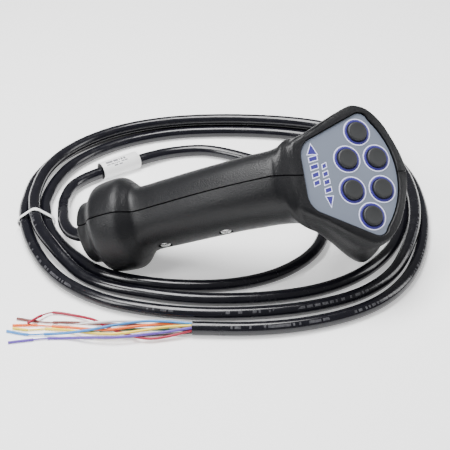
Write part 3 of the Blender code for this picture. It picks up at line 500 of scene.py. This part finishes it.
def oval(half_width, power):
    """Nine points of half a rounded section, top to bottom: share of the height, half width."""
    points = []
    for i in range(9):
        angle = math.pi * i / 8
        across = abs(math.sin(angle)) ** (2 / power)
        along = math.copysign(abs(math.cos(angle)) ** (2 / power), math.cos(angle))
        points.append(((1 - along) / 2, half_width * across))
    return points


def head_sections():
    """Sections that fan round from across the grip to the rim: top, bottom and half outline."""
    rim = [(0.0, 0.0), (0.004, 12.4), (0.035, 21.2), (0.24, 30.8), (0.49, 40.8), (0.61, 43.2),
           (0.755, 39.2), (0.895, 25.4), (1.0, 0.0)]
    deep = [(0.0, 0.0), (0.01, 12.8), (0.05, 22.2), (0.25, 30.4), (0.48, 38.4), (0.64, 42.4),
            (0.81, 40.6), (0.94, 25.5), (1.0, 0.0)]
    chin = [(0.0, 0.0), (0.012, 12.6), (0.06, 21.8), (0.25, 29.8), (0.48, 36.2), (0.68, 41.2),
            (0.86, 41.0), (0.965, 26.0), (1.0, 0.0)]
    jowl = [(0.0, 0.0), (0.016, 12.2), (0.08, 21.2), (0.28, 28.2), (0.50, 29.4), (0.70, 32.2),
            (0.86, 33.8), (0.965, 20.5), (1.0, 0.0)]
    nape = [(0.0, 0.0), (0.018, 11.8), (0.09, 20.4), (0.27, 26.6), (0.49, 26.6), (0.69, 23.4),
            (0.85, 18.6), (0.96, 10.2), (1.0, 0.0)]
    neck = [(0.0, 0.0), (0.02, 11.2), (0.10, 19.4), (0.28, 24.6), (0.50, 24.6), (0.70, 21.6),
            (0.86, 16.8), (0.96, 9.2), (1.0, 0.0)]
    return [(tilted(-60.5, 2.0), (-57.5, -7.4), oval(21.0, 2.35)),
            (tilted(-56.3, 2.9), tilted(-31.5, -33.6), oval(22.2, 2.4)),
            (tilted(-52.8, 3.0), tilted(-21.5, -33.6), neck),
            (tilted(-50.3, 2.9), tilted(-12.0, -40.0), nape),
            (tilted(-48.5, 2.8), tilted(4.0, -50.0), jowl),
            (tilted(-46.8, 2.6), tilted(20.0, -54.0), chin),
            (tilted(-45.2, 2.3), tilted(25.5, -38.0), deep),
            (tilted(-43.8, 2.1), tilted(27.0, -20.0), rim),
            (tilted(-42.5, FACE_PLANE), tilted(27.4, -7.0), rim),
            (tilted(-40.4, FACE_PLANE), tilted(26.0, FACE_PLANE),
             [(t, width * 0.98) for t, width in rim])]


def mirrored(point):
    return Vector((point.x, -point.y, point.z))


def smooth_grid():
    """The half skin: smooth rows and columns of points through the key sections."""
    sections = [((x, AXIS_Z + r), (x, AXIS_Z - r), oval(r, 2.0)) for x, r in BULB]
    sections += [((x, top), (x, low), oval(width, GRIP_SQUARENESS)) for x, top, low, width in GRIP]
    sections += head_sections()
    rows = [[Vector((top[0] + (low[0] - top[0]) * t, width, top[1] + (low[1] - top[1]) * t))
             for t, width in outline] for top, low, outline in sections]
    lengthwise = []
    for i in range(len(rows) - 1):
        before = rows[i - 1] if i > 0 else [2 * a - b for a, b in zip(rows[0], rows[1])]
        after = rows[i + 2] if i + 2 < len(rows) else [2 * a - b for a, b in zip(rows[-1], rows[-2])]
        for step in range(ROWS_PER_SPAN):
            lengthwise.append([catmull(a, b, c, d, step / ROWS_PER_SPAN)
                               for a, b, c, d in zip(before, rows[i], rows[i + 1], after)])
    lengthwise.append(rows[-1])
    grid = []
    for row in lengthwise:
        ring = [mirrored(row[1])] + row + [mirrored(row[-2])]
        line = []
        for k in range(1, len(ring) - 2):
            line += [catmull(*ring[k - 1:k + 3], step / COLUMNS_PER_SPAN)
                     for step in range(COLUMNS_PER_SPAN)]
        line.append(row[-1])
        for point in line:
            point.y = max(point.y, 0.0)
        grid.append(line)
    return grid


def skin_normal(grid, i, k):
    """The outward direction of the half skin at one of its points."""
    rows, columns = len(grid), len(grid[0])
    along = grid[min(i + 1, rows - 1)][k] - grid[max(i - 1, 0)][k]
    before = grid[i][k - 1] if k > 0 else mirrored(grid[i][1])
    after = grid[i][k + 1] if k < columns - 1 else mirrored(grid[i][-2])
    return along.cross(after - before).normalized()


def rounded_rim(grid):
    """The grid with its last row turned into a rounded edge where the wall meets the rim's top."""
    angle = math.radians(FACE_TILT_DEG)
    up = Vector((math.sin(angle), 0.0, math.cos(angle)))
    last = len(grid) - 1
    rows = [[], [], []]
    for k, point in enumerate(grid[last]):
        wall = skin_normal(grid, last, k)
        steep = max(0.0, min(1.0, 1.35 * (1.0 - wall.dot(up))))
        inward = -(wall - up * wall.dot(up))
        if inward.length > 0.05:
            inward.normalize()
        else:
            inward = Vector((math.cos(angle), 0.0, -math.sin(angle)))
        for row, (down, across) in zip(rows, ((1.0, 0.0), (0.3, 0.3), (0.0, 1.0))):
            moved = point - up * (down * steep * RIM_ROUNDING) + inward * (across * RIM_ROUNDING)
            row.append(Vector((moved.x, max(moved.y, 0.0), moved.z)))
    for row in rows:
        row[0].y = row[-1].y = 0.0
    return grid[:last] + rows


def half_shell_form(grid, side):
    """The outer form of one half, closed along the split, with a groove along the seam."""
    bm = bmesh.new()
    rings = []
    for i, row in enumerate(grid):
        ring = []
        for k in (0, len(row) - 1):
            groove_half = min(SEAM_HALF_WIDTH, 0.5 * max(row[1].y if k == 0 else row[-2].y, 0.5))
            sunk = row[k] - SEAM_DEPTH * skin_normal(grid, i, k)
            pair = [Vector((sunk.x, side * SEAM_HALF_GAP, sunk.z)),
                    Vector((row[k].x, side * groove_half, row[k].z))]
            ring.append(pair if k == 0 else pair[::-1])
        middle = [Vector((p.x, side * max(p.y, SEAM_HALF_WIDTH + 0.05), p.z)) for p in row[1:-1]]
        rings.append([bm.verts.new(mm(*p)) for p in ring[0] + middle + ring[1]])
    for first, second in zip(rings, rings[1:]):
        for k in range(len(first)):
            after = (k + 1) % len(first)
            bm.faces.new((first[k], first[after], second[after], second[k]))
    bm.faces.new(rings[0][::-1])
    bm.faces.new(rings[-1])
    return finish_mesh(bm, "half_form")


def bent(start, middle, end, count=7):
    """Points of a curve that leaves start, passes the middle point and reaches end."""
    control = [2 * m - (a + b) / 2 for a, m, b in zip(start, middle, end)]
    return [tuple((1 - t) ** 2 * a + 2 * t * (1 - t) * c + t * t * b
                  for a, c, b in zip(start, control, end)) for t in (i / count for i in range(count + 1))]


def label_outline(offset=0.0):
    """The shield outline of the label, with rounded corners, widened by an offset."""
    half = bent(*LABEL_CORNERS[0]) + bent(*LABEL_CORNERS[1])
    arc_centre = LABEL_TIP - TIP_RADIUS
    for i in range(2, 20):
        angle = math.radians(45.0 * (1 - i / 20))
        half.append((arc_centre + TIP_RADIUS * math.cos(angle), TIP_RADIUS * math.sin(angle)))
    half.append((LABEL_TIP, 0.0))
    outline = half + [(x, -y) for x, y in half[-2::-1]]
    grown = []
    for i, (x, y) in enumerate(outline):
        before = Vector(outline[i - 1])
        after = Vector(outline[(i + 1) % len(outline)])
        first = (Vector((x, y)) - before).normalized()
        second = (after - Vector((x, y))).normalized()
        bisector = Vector((first.y + second.y, -first.x - second.x)).normalized()
        reach = offset / max(0.5, bisector.dot(Vector((first.y, -first.x))))
        grown.append((x - bisector.x * reach, y - bisector.y * reach))
    return grown


def cut(mesh, cutters):
    """A mesh with closed meshes taken out of it."""
    made = []
    target = bpy.data.objects.new("cut", mesh)
    bpy.context.scene.collection.objects.link(target)
    for cutter_mesh, matrix in cutters:
        cutter = bpy.data.objects.new("cutter", cutter_mesh)
        cutter.matrix_world = matrix
        bpy.context.scene.collection.objects.link(cutter)
        made.append(cutter)
        modifier = target.modifiers.new("cut", "BOOLEAN")
        modifier.operation = "DIFFERENCE"
        modifier.solver = "MANIFOLD"
        modifier.object = cutter
    bpy.context.view_layer.update()
    graph = bpy.context.evaluated_depsgraph_get()
    result = bpy.data.meshes.new_from_object(target.evaluated_get(graph))
    for thing in [target] + made:
        bpy.data.objects.remove(thing)
    result.shade_smooth()
    result.set_sharp_from_angle(angle=math.radians(35))
    return result


def shell_cutters():
    """The recess for the label, the well under it, the cable entry and the screws' counterbores."""
    tilt = Matrix.Rotation(math.radians(FACE_TILT_DEG), 4, "Y")
    pocket = bmesh.new()
    prism(pocket, [(label_outline(0.5), LEDGE_Z), (label_outline(0.5), 1.45), (label_outline(1.1), 2.05),
                   (label_outline(1.1), 9.0)])
    well = bmesh.new()
    prism(well, [(label_outline(-8.5), -27.0), (label_outline(-1.1), -19.0), (label_outline(-1.1), 0.0)])
    notch = bmesh.new()
    prism(notch, [([(19.6, -0.1), (29.0, -0.1), (29.0, 0.1), (19.6, 0.1)], 1.2),
                  ([(19.6, -0.5), (29.0, -0.5), (29.0, 0.5), (19.6, 0.5)], 2.4)])
    cutters = [(finish_mesh(bm, "cutter"), tilt) for bm in (pocket, well, notch)]
    entry = bmesh.new()
    lathe(entry, [(0.0, -5.0), (ENTRY_HOLE + 1.0, -5.0), (ENTRY_HOLE + 1.0, 0.0), (ENTRY_HOLE, 0.9),
                  (ENTRY_HOLE, 8.0), (0.0, 8.0)], 48,
          Matrix.Translation(mm(BASE_END_X, 0, AXIS_Z)) @ Matrix.Rotation(math.radians(90), 4, "Y"))
    cutters.append((finish_mesh(entry, "cutter"), Matrix.Identity(4)))
    for _name, x, z, side, seat in SCREWS:
        bore = bmesh.new()
        lathe(bore, [(0.0, seat - 1.0), (COUNTERBORE_RADIUS, seat - 1.0), (COUNTERBORE_RADIUS, 60.0),
                     (0.0, 60.0)], 40)
        place = Matrix.Translation(mm(x, 0, z)) @ Matrix.Rotation(math.radians(-90 * side), 4, "X")
        cutters.append((finish_mesh(bore, "cutter"), place))
    return cutters


def grip_shells(material):
    grid = rounded_rim(smooth_grid())
    cutters = shell_cutters()
    for side, node in ((-1, "left_shell"), (1, "right_shell")):
        add_piece(node + "_skin", cut(half_shell_form(grid, side), cutters), [material], HANDLE,
                  [node])


# ------------------------------------------------------------------ label, rings, buttons and screws

def face_label(material):
    holes = []
    for x, y in BUTTON_CENTRES:
        hole = bmesh.new()
        lathe(hole, [(0.0, -2.0), (LABEL_HOLE, -2.0), (LABEL_HOLE, 2.0), (0.0, 2.0)])
        holes.append((finish_mesh(hole, "hole"), Matrix.Translation(mm(x, y, 0))))
    sheet = bmesh.new()
    prism(sheet, [(label_outline(-0.05), -0.1), (label_outline(0.0), 0.0), (label_outline(0.0), 0.2),
                  (label_outline(-0.1), LABEL_TOP)])
    add_piece("face_label_film", cut(finish_mesh(sheet, "sheet"), holes), [material], FACE,
              ["face_label"])


def switch_rings(navy, lavender):
    """The blue collar of each switch and the pale printed ring round it."""
    collars, prints = bmesh.new(), bmesh.new()
    for x, y in BUTTON_CENTRES:
        place = Matrix.Translation(mm(x, y, 0))
        lathe(collars, COLLAR_PROFILE, 48, place)
        lathe(prints, RING_PRINT_PROFILE, 64, place)
    add_piece("switch_collars", finish_mesh(collars, "switch_collars"), [navy], FACE)
    add_piece("ring_prints", finish_mesh(prints, "ring_prints"), [lavender], FACE)


def motif_shapes():
    """A plain motif of arrows and slanted bars, as outlines on the label."""
    shapes = []
    for centre, lean, half, long_edge in ((-31.2, 1.2, 2.5, 1), (-25.0, 1.0, 1.8, -1)):
        for step in range(4):
            v = long_edge * (9.6 - 4.9 * step)
            width = half * (1.0 - 0.12 * step)
            shapes.append([(centre - width, v - 1.2), (centre + width, v - 1.2 + lean),
                           (centre + width, v + 1.2 + lean), (centre - width, v + 1.2)])
        tip = long_edge * 19.0
        foot = long_edge * 13.0
        corners = [(centre - half * 1.15, foot), (centre + half * 1.15, foot), (centre, tip)]
        shapes.append(corners if long_edge > 0 else corners[::-1])
    return shapes


def grown_shape(shape, offset):
    """A convex outline, listed counter-clockwise, moved out by an offset."""
    grown = []
    for i, corner in enumerate(shape):
        before = (Vector(corner) - Vector(shape[i - 1])).normalized()
        after = (Vector(shape[(i + 1) % len(shape)]) - Vector(corner)).normalized()
        out_before = Vector((before.y, -before.x))
        out_after = Vector((after.y, -after.x))
        middle = (out_before + out_after).normalized()
        reach = offset / max(0.45, middle.dot(out_before))
        grown.append((corner[0] + middle.x * reach, corner[1] + middle.y * reach))
    return grown


def label_motif(navy, lavender):
    front, halo = bmesh.new(), bmesh.new()
    for shape in motif_shapes():
        outer = grown_shape(shape, MOTIF_HALO)
        prism(halo, [(outer, LABEL_TOP - 0.02), (outer, LABEL_TOP + 0.04)])
        prism(front, [(shape, LABEL_TOP), (shape, LABEL_TOP + 0.07)])
    add_piece("motif_halo", finish_mesh(halo, "motif_halo"), [lavender], FACE)
    add_piece("motif_front", finish_mesh(front, "motif_front"), [navy], FACE)


def buttons(material):
    """Each cap: a softly dished top, a rounded edge and the stem that runs in the switch."""
    for i, (x, y) in enumerate(BUTTON_CENTRES, 1):
        bm = bmesh.new()
        lathe(bm, CAP_PROFILE, 56)
        add_piece(f"button_{i}_cap", finish_mesh(bm, "cap"), [material],
                  FACE @ Matrix.Translation(mm(x, y, 0)), [f"button_cap_{i}"], f"button_{i}")


def return_springs(material):
    """A coil spring under each cap."""
    low, high = SPRING_Z
    steps = SPRING_TURNS * 24
    for i, (x, y) in enumerate(BUTTON_CENTRES, 1):
        points = []
        for step in range(steps + 1):
            angle = 2 * math.pi * SPRING_TURNS * step / steps
            points.append(mm(x + SPRING_RADIUS * math.cos(angle), y + SPRING_RADIUS * math.sin(angle),
                             low + (high - low) * step / steps))
        coil = swept_tube(points, [SPRING_WIRE * 0.001] * len(points), 10)
        spring = add_piece(f"button_{i}_spring", finish_mesh(coil, "spring", 60), [material],
                           FACE, [f"return_spring_{i}"])
        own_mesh(spring)


def screws(material):
    """Pan-head screws with a cross recess, seated in their counterbores."""
    for name, x, z, side, seat in SCREWS:
        bm = bmesh.new()
        lathe(bm, SCREW_PROFILE, 40)
        recess = bmesh.new()
        prism(recess, [([(-0.3, -0.3), (0.3, -0.3), (0.3, 0.3), (-0.3, 0.3)], 0.75),
                       ([(-2.1, -0.52), (2.1, -0.52), (2.1, 0.52), (-2.1, 0.52)], 2.8)])
        recess_mesh = finish_mesh(recess, "recess")
        turned = [(recess_mesh, Matrix.Identity(4)),
                  (recess_mesh, Matrix.Rotation(math.radians(90), 4, "Z"))]
        place = (Matrix.Translation(mm(x, side * (seat + 0.1), z))
                 @ Matrix.Rotation(math.radians(-90 * side), 4, "X")
                 @ Matrix.Rotation(math.radians(SCREW_TURN_DEG), 4, "Z"))
        add_piece(name + "_head", cut(finish_mesh(bm, "screw"), turned), [material],
                  HANDLE @ place, [name])


# ------------------------------------------------------------------ cable and what is on it

def cable_points():
    """The cable's centre line in metres, with more points where it bends more."""
    inside = [HANDLE @ mm(x, 0.0, AXIS_Z) for x in ENTRY_X]
    knots = inside + [mm(*point) for point in CABLE_ROUTE]
    knots.append(2 * knots[-1] - knots[-2])
    points = inside[:-1]
    for i in range(len(inside) - 1, len(knots) - 2):
        bend = (knots[i + 1] - knots[i - 1]).angle(knots[i + 2] - knots[i])
        steps = max(4, math.ceil(math.degrees(bend) / CABLE_TURN_DEG))
        points += [catmull(*knots[i - 1:i + 3], step / steps) for step in range(steps)]
    points.append(knots[-2])
    for point in points:
        point.z = max(point.z, CABLE_REST_Z * 0.001)
    return points


def path_length(points):
    return sum((after - before).length for before, after in zip(points, points[1:]))


def main_cable(material):
    points = cable_points()
    radius = CABLE_RADIUS * 0.001
    bm = swept_tube(points, [radius] * len(points), 22)
    cable = add_piece("control_cable", finish_mesh(bm, "control_cable"), [material],
                      replaced=["cable"])


def even_points(route, count):
    """Evenly spaced points, in metres, on a smooth curve through a route in millimetres."""
    knots = [mm(*point) for point in route]
    knots = [2 * knots[0] - knots[1]] + knots + [2 * knots[-1] - knots[-2]]
    fine = []
    for i in range(1, len(knots) - 2):
        fine += [catmull(*knots[i - 1:i + 3], step / 24) for step in range(24)]
    fine.append(knots[-2])
    total, walked, at = path_length(fine), 0.0, 0
    points = [fine[0]]
    for i in range(1, count - 1):
        while walked + (fine[at + 1] - fine[at]).length < total * i / (count - 1):
            walked += (fine[at + 1] - fine[at]).length
            at += 1
        share = (total * i / (count - 1) - walked) / (fine[at + 1] - fine[at]).length
        points.append(fine[at].lerp(fine[at + 1], share))
    return points + [fine[-1]]


def wires(tinned):
    """Each core: insulated wire, a bare tinned stretch, and a slug of insulation near its tip."""
    for name, colour, slug, bare, route in WIRES:
        points = even_points([(WIRE_ROOT_X, *route[0])] + route[1:], 160)
        total = path_length(points)
        radii, slots = [], []
        for i in range(len(points)):
            from_tip = total * (1 - i / (len(points) - 1)) * 1000
            is_bare = slug < from_tip < slug + bare
            radii.append((BARE_RADIUS if is_bare else WIRE_RADIUS) * 0.001)
            slots.append(1 if is_bare else 0)
        insulation = moulded(name + "_insulation", colour, 0.38, 1500.0, 0.08, 0.02, 0.06)
        bm = swept_tube(points, radii, 12, slots)
        core = add_piece(name + "_core", finish_mesh(bm, name, 50), [insulation, tinned],
                         replaced=[name])


def tie_outline(radius, steps=14):
    """A band's outline pulled round three piled strands, seen along them."""
    points = []
    for i, centre in enumerate(TIE_STRANDS):
        before = Vector(centre) - Vector(TIE_STRANDS[i - 1])
        after = Vector(TIE_STRANDS[(i + 1) % 3]) - Vector(centre)
        start = math.atan2(-before.x, before.y)
        turn = (math.atan2(-after.x, after.y) - start) % (2 * math.pi)
        for step in range(steps + 1):
            angle = start + turn * step / steps
            points.append((centre[0] + radius * math.cos(angle), centre[1] + radius * math.sin(angle)))
    return points


def cable_tie(material):
    """A flat band round three strands of the coil."""
    bm = bmesh.new()
    half = TIE_WIDTH / 2
    outer = TIE_INNER_RADIUS + TIE_THICKNESS
    section = [(TIE_INNER_RADIUS, -half), (outer - 0.1, -half), (outer, -half + 0.3),
               (outer, half - 0.3), (outer - 0.1, half), (TIE_INNER_RADIUS, half)]
    rings = [[bm.verts.new(mm(x, y, z)) for x, y in tie_outline(radius)] for radius, z in section]
    for first, second in zip(rings, rings[1:] + rings[:1]):
        for k in range(len(first)):
            after = (k + 1) % len(first)
            bm.faces.new((first[k], first[after], second[after], second[k]))
    place = (Matrix.Translation(mm(*TIE_CENTRE)) @ Matrix.Rotation(math.radians(TIE_HEADING_DEG), 4, "Z")
             @ Matrix.Rotation(math.radians(90), 4, "X"))
    add_piece("tie_band", finish_mesh(bm, "tie_band", 50), [material], place, ["cable_tie"])


def label_sleeve(material):
    """A thin printed sleeve round the cable, open at both ends."""
    start, end = (mm(*point) for point in SLEEVE_ENDS)
    ahead = (end - start).normalized()
    side = ahead.cross(Vector((0, 0, 1))).normalized()
    up = side.cross(ahead)
    bm = bmesh.new()
    layer = bm.loops.layers.uv.new("UVMap")
    sides = 40
    lip = SLEEVE_OUTER - 0.12
    section = [(lip, 0.0), (SLEEVE_OUTER, 0.01), (SLEEVE_OUTER, 0.99), (lip, 1.0),
               (SLEEVE_INNER, 1.0), (SLEEVE_INNER, 0.0)]
    rings = [[bm.verts.new(start.lerp(end, share)
                           + radius * 0.001 * (side * math.cos(2 * math.pi * k / sides)
                                               + up * math.sin(2 * math.pi * k / sides)))
              for k in range(sides)] for radius, share in section]
    for i, first in enumerate(rings):
        j = (i + 1) % len(rings)
        for k in range(sides):
            after = (k + 1) % sides
            face = bm.faces.new((first[k], first[after], rings[j][after], rings[j][k]))
            for loop, (ring, step) in zip(face.loops, ((i, k), (i, k + 1), (j, k + 1), (j, k))):
                outside = i in (0, 1, 2) and j in (1, 2, 3)
                loop[layer].uv = (section[ring][1], step / sides) if outside else (0.0, 0.0)
    add_piece("marker_sleeve", finish_mesh(bm, "marker_sleeve"), [material],
              replaced=["label_sleeve"])


# ------------------------------------------------------------------ light, floor, remaining CAD parts

def add_light(name, place, target, size, power):
    data = bpy.data.lights.new(name, "AREA")
    data.shape = "RECTANGLE"
    data.size, data.size_y = size
    data.energy = power
    light = bpy.data.objects.new(name, data)
    light.location = place
    light.rotation_euler = (Vector(target) - Vector(place)).to_track_quat("-Z", "Y").to_euler()
    bpy.context.scene.collection.objects.link(light)


def studio():
    world = bpy.data.worlds.new("studio")
    world.use_nodes = True
    background = world.node_tree.nodes["Background"]
    background.inputs["Color"].default_value = (1.0, 1.0, 1.0, 1.0)
    background.inputs["Strength"].default_value = WORLD_STRENGTH
    bpy.context.scene.world = world
    bm = bmesh.new()
    bmesh.ops.create_grid(bm, x_segments=2, y_segments=2, size=4.0)
    floor = bpy.data.objects.new("floor", finish_mesh(bm, "floor"))
    look = Shading("floor_white", (0.97, 0.97, 0.97), 0.6, Emission_Color=(1.0, 1.0, 1.0, 1.0),
                   Emission_Strength=FLOOR_GLOW)
    floor.data.materials.append(look.material)
    bpy.context.scene.collection.objects.link(floor)
    for softbox in SOFTBOXES:
        add_light(*softbox)


def dress_cad_nodes():
    """Better materials for the CAD parts that stay in view or inside the grip."""
    steel = metal("zinc_plated", (0.58, 0.58, 0.56), 0.32)
    brass = metal("turned_brass", (0.62, 0.43, 0.17), 0.30)
    rubber = moulded("grommet_rubber", (0.012, 0.012, 0.013), 0.55, 1500.0, 0.2, 0.05)
    black = moulded("switch_moulding", (0.02, 0.02, 0.022), 0.42, 1800.0, 0.1, 0.03)
    choices = {"switch_plate": steel, "cable_clamp": steel, "cable_grommet": rubber,
               "inner_lead_bundle": rubber, "clamp_screw_1": steel, "clamp_screw_2": steel}
    for i in range(1, 7):
        choices[f"switch_body_{i}"] = black
        choices[f"switch_nut_{i}"] = steel
    for i in range(1, 4):
        choices[f"thread_insert_{i}"] = brass
    for node, material in choices.items():
        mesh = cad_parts[node].data
        mesh.materials.clear()
        mesh.materials.append(material)


add_camera()
main_cable(printed_cable("cable_sheath"))
wires(metal("tinned_copper", (0.72, 0.68, 0.60), 0.28, 2500.0))
grip_shells(moulded("shell_moulding", (0.0045, 0.0047, 0.0058), 0.41, 1250.0, 1.0, 0.24,
                    Specular_IOR_Level=0.30))
face_label(moulded("label_film", SLATE, 0.48, 1400.0, 0.06, 0.03, 0.03))
NAVY_PRINT = moulded("navy_print", NAVY, 0.35, 1500.0, 0.05, 0.02, 0.05)
PALE_PRINT = moulded("pale_print", LAVENDER, 0.45, 1500.0, 0.05, 0.02, 0.03)
switch_rings(NAVY_PRINT, PALE_PRINT)
label_motif(NAVY_PRINT, PALE_PRINT)
buttons(moulded("cap_moulding", (0.013, 0.014, 0.015), 0.50, 1500.0, 0.3, 0.06))
return_springs(metal("spring_steel", (0.55, 0.55, 0.55), 0.28))
screws(metal("bright_screw", (0.78, 0.78, 0.77), 0.18))
cable_tie(moulded("tie_nylon", (0.84, 0.84, 0.84), 0.40, 1200.0, 0.06, 0.02, 0.03))
label_sleeve(printed_sleeve("marker_film"))
dress_cad_nodes()
studio()
